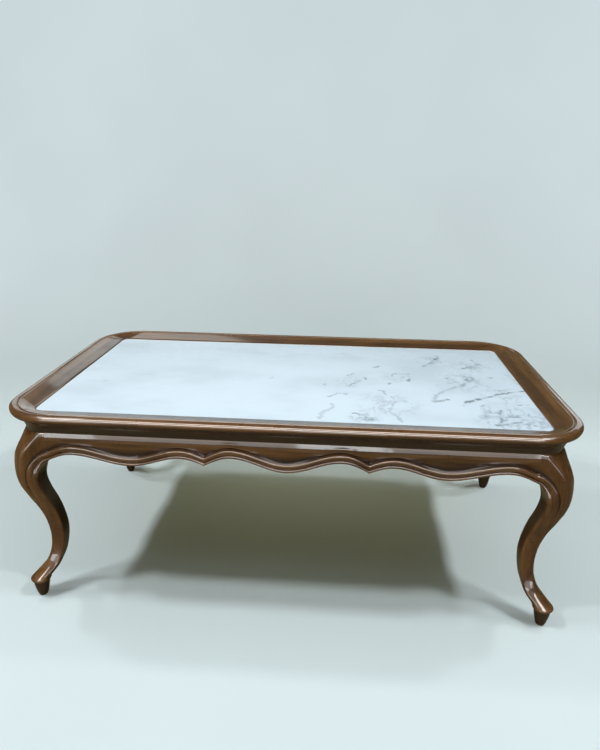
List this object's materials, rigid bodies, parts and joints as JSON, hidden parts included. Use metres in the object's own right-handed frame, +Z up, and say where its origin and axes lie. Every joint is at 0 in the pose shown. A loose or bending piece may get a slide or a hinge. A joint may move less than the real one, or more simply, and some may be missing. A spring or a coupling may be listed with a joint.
{
  "type": "coffee table",
  "caption": "Low table with a dished moulded wooden rim, an inset marble slab, scalloped aprons and curved cabriole legs.",
  "frame": {"origin": "on the floor under the middle of the table", "axes": "+X along the length to the right seen from the front, +Y from front to back, +Z up"},
  "size_m": [1.09, 0.62, 0.416],
  "materials": {
    "polished_wood": "medium walnut-brown stain under a gloss lacquer",
    "inner_wood": "bare sawn softwood",
    "white_marble": "polished white marble with blue-grey veins",
    "screw_steel": "zinc-plated",
    "glide_steel": "dull nickel"
  },
  "bodies": {
    "frame": {"top_rail_front": "polished_wood", "top_rail_back": "polished_wood", "top_rail_left": "polished_wood", "top_rail_right": "polished_wood", "leg_front_left": "polished_wood", "leg_front_right": "polished_wood", "leg_back_left": "polished_wood", "leg_back_right": "polished_wood", "apron_front": "polished_wood", "apron_back": "polished_wood", "apron_left": "polished_wood", "apron_right": "polished_wood", "mitre_splines": "inner_wood", "cross_batten_left": "inner_wood", "cross_batten_right": "inner_wood", "corner_block_front_left": "inner_wood", "corner_block_front_right": "inner_wood", "corner_block_back_left": "inner_wood", "corner_block_back_right": "inner_wood", "batten_screws": "screw_steel", "block_screws": "screw_steel", "top_screws": "screw_steel", "foot_glides": "glide_steel"},
    "slab": {"marble_slab": "white_marble"}
  },
  "joints": [
    {"name": "slab_lift", "type": "slide", "parent": "frame", "child": "slab", "axis": [0, 0, 1], "range_m": [0, 0.06]}
  ]
}
